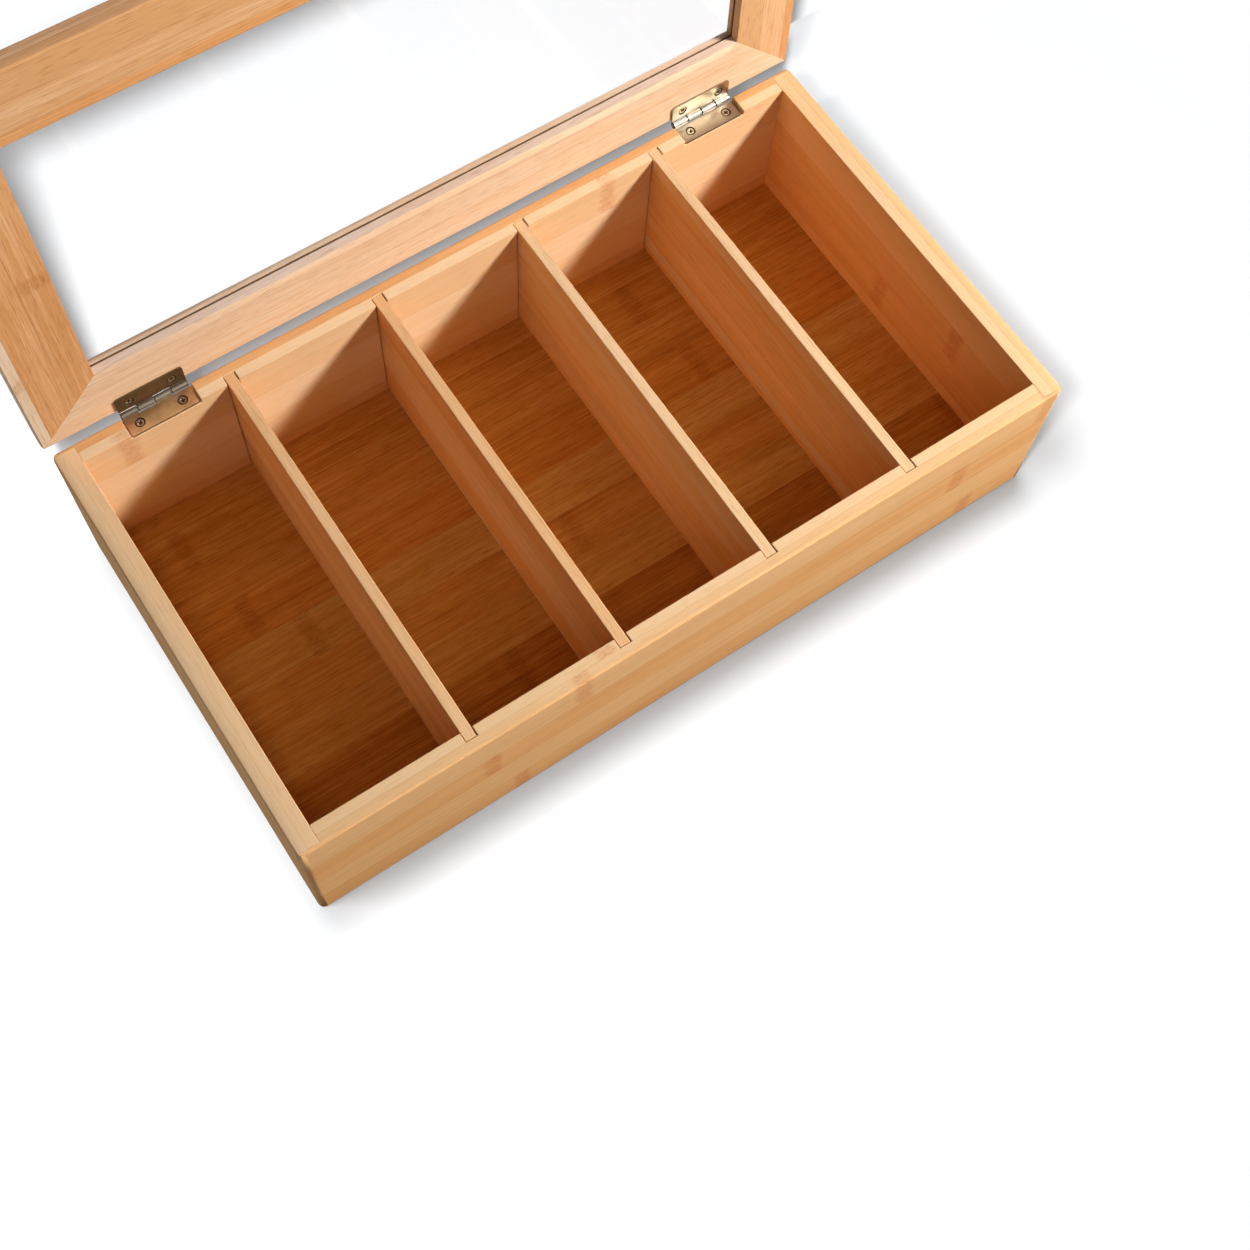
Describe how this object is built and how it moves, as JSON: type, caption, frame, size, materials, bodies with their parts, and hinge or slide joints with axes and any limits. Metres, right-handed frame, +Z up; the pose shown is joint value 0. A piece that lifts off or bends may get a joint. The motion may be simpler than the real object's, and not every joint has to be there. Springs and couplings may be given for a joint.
{
  "type": "tea bag organizer box",
  "caption": "Free-standing bamboo box with equal compartments for tea sachets and a hinged, framed lid with a clear pane, shown open on its stop.",
  "frame": {"origin": "centre of the rectangle that the walls' bottom edges stand on", "axes": "+X along the length, -Y is the front, +Z up"},
  "size_m": [0.363, 0.2125, 0.272],
  "materials": {
    "wall_bamboo": "clear satin lacquer over light bamboo",
    "floor_bamboo": "clear satin lacquer over darker bamboo",
    "divider_bamboo": "clear satin lacquer over light bamboo",
    "lid_bamboo": "clear satin lacquer over light bamboo",
    "pane": "clear and polished",
    "hinge_plate": "yellow zinc plated, dulled",
    "screws": "yellow zinc plated"
  },
  "bodies": {
    "box": {"front_wall": "wall_bamboo", "rear_wall": "wall_bamboo", "left_wall": "wall_bamboo", "right_wall": "wall_bamboo", "base_panel": "floor_bamboo", "divider_1": "divider_bamboo", "divider_2": "divider_bamboo", "divider_3": "divider_bamboo", "divider_4": "divider_bamboo", "left_hinge_box_leaf": "hinge_plate", "left_hinge_pin": "hinge_plate", "right_hinge_box_leaf": "hinge_plate", "right_hinge_pin": "hinge_plate", "box_hinge_screws": "screws"},
    "lid": {"lid_front_rail": "lid_bamboo", "lid_rear_rail": "lid_bamboo", "lid_left_stile": "lid_bamboo", "lid_right_stile": "lid_bamboo", "lid_pane": "pane", "left_hinge_lid_leaf": "hinge_plate", "right_hinge_lid_leaf": "hinge_plate", "lid_hinge_screws": "screws"}
  },
  "joints": [
    {"name": "lid_hinge", "type": "hinge", "parent": "box", "child": "lid", "pos_m": [0, 0.0987, 0.0765], "axis": [1, 0, 0], "range_deg": [0, 92]}
  ]
}
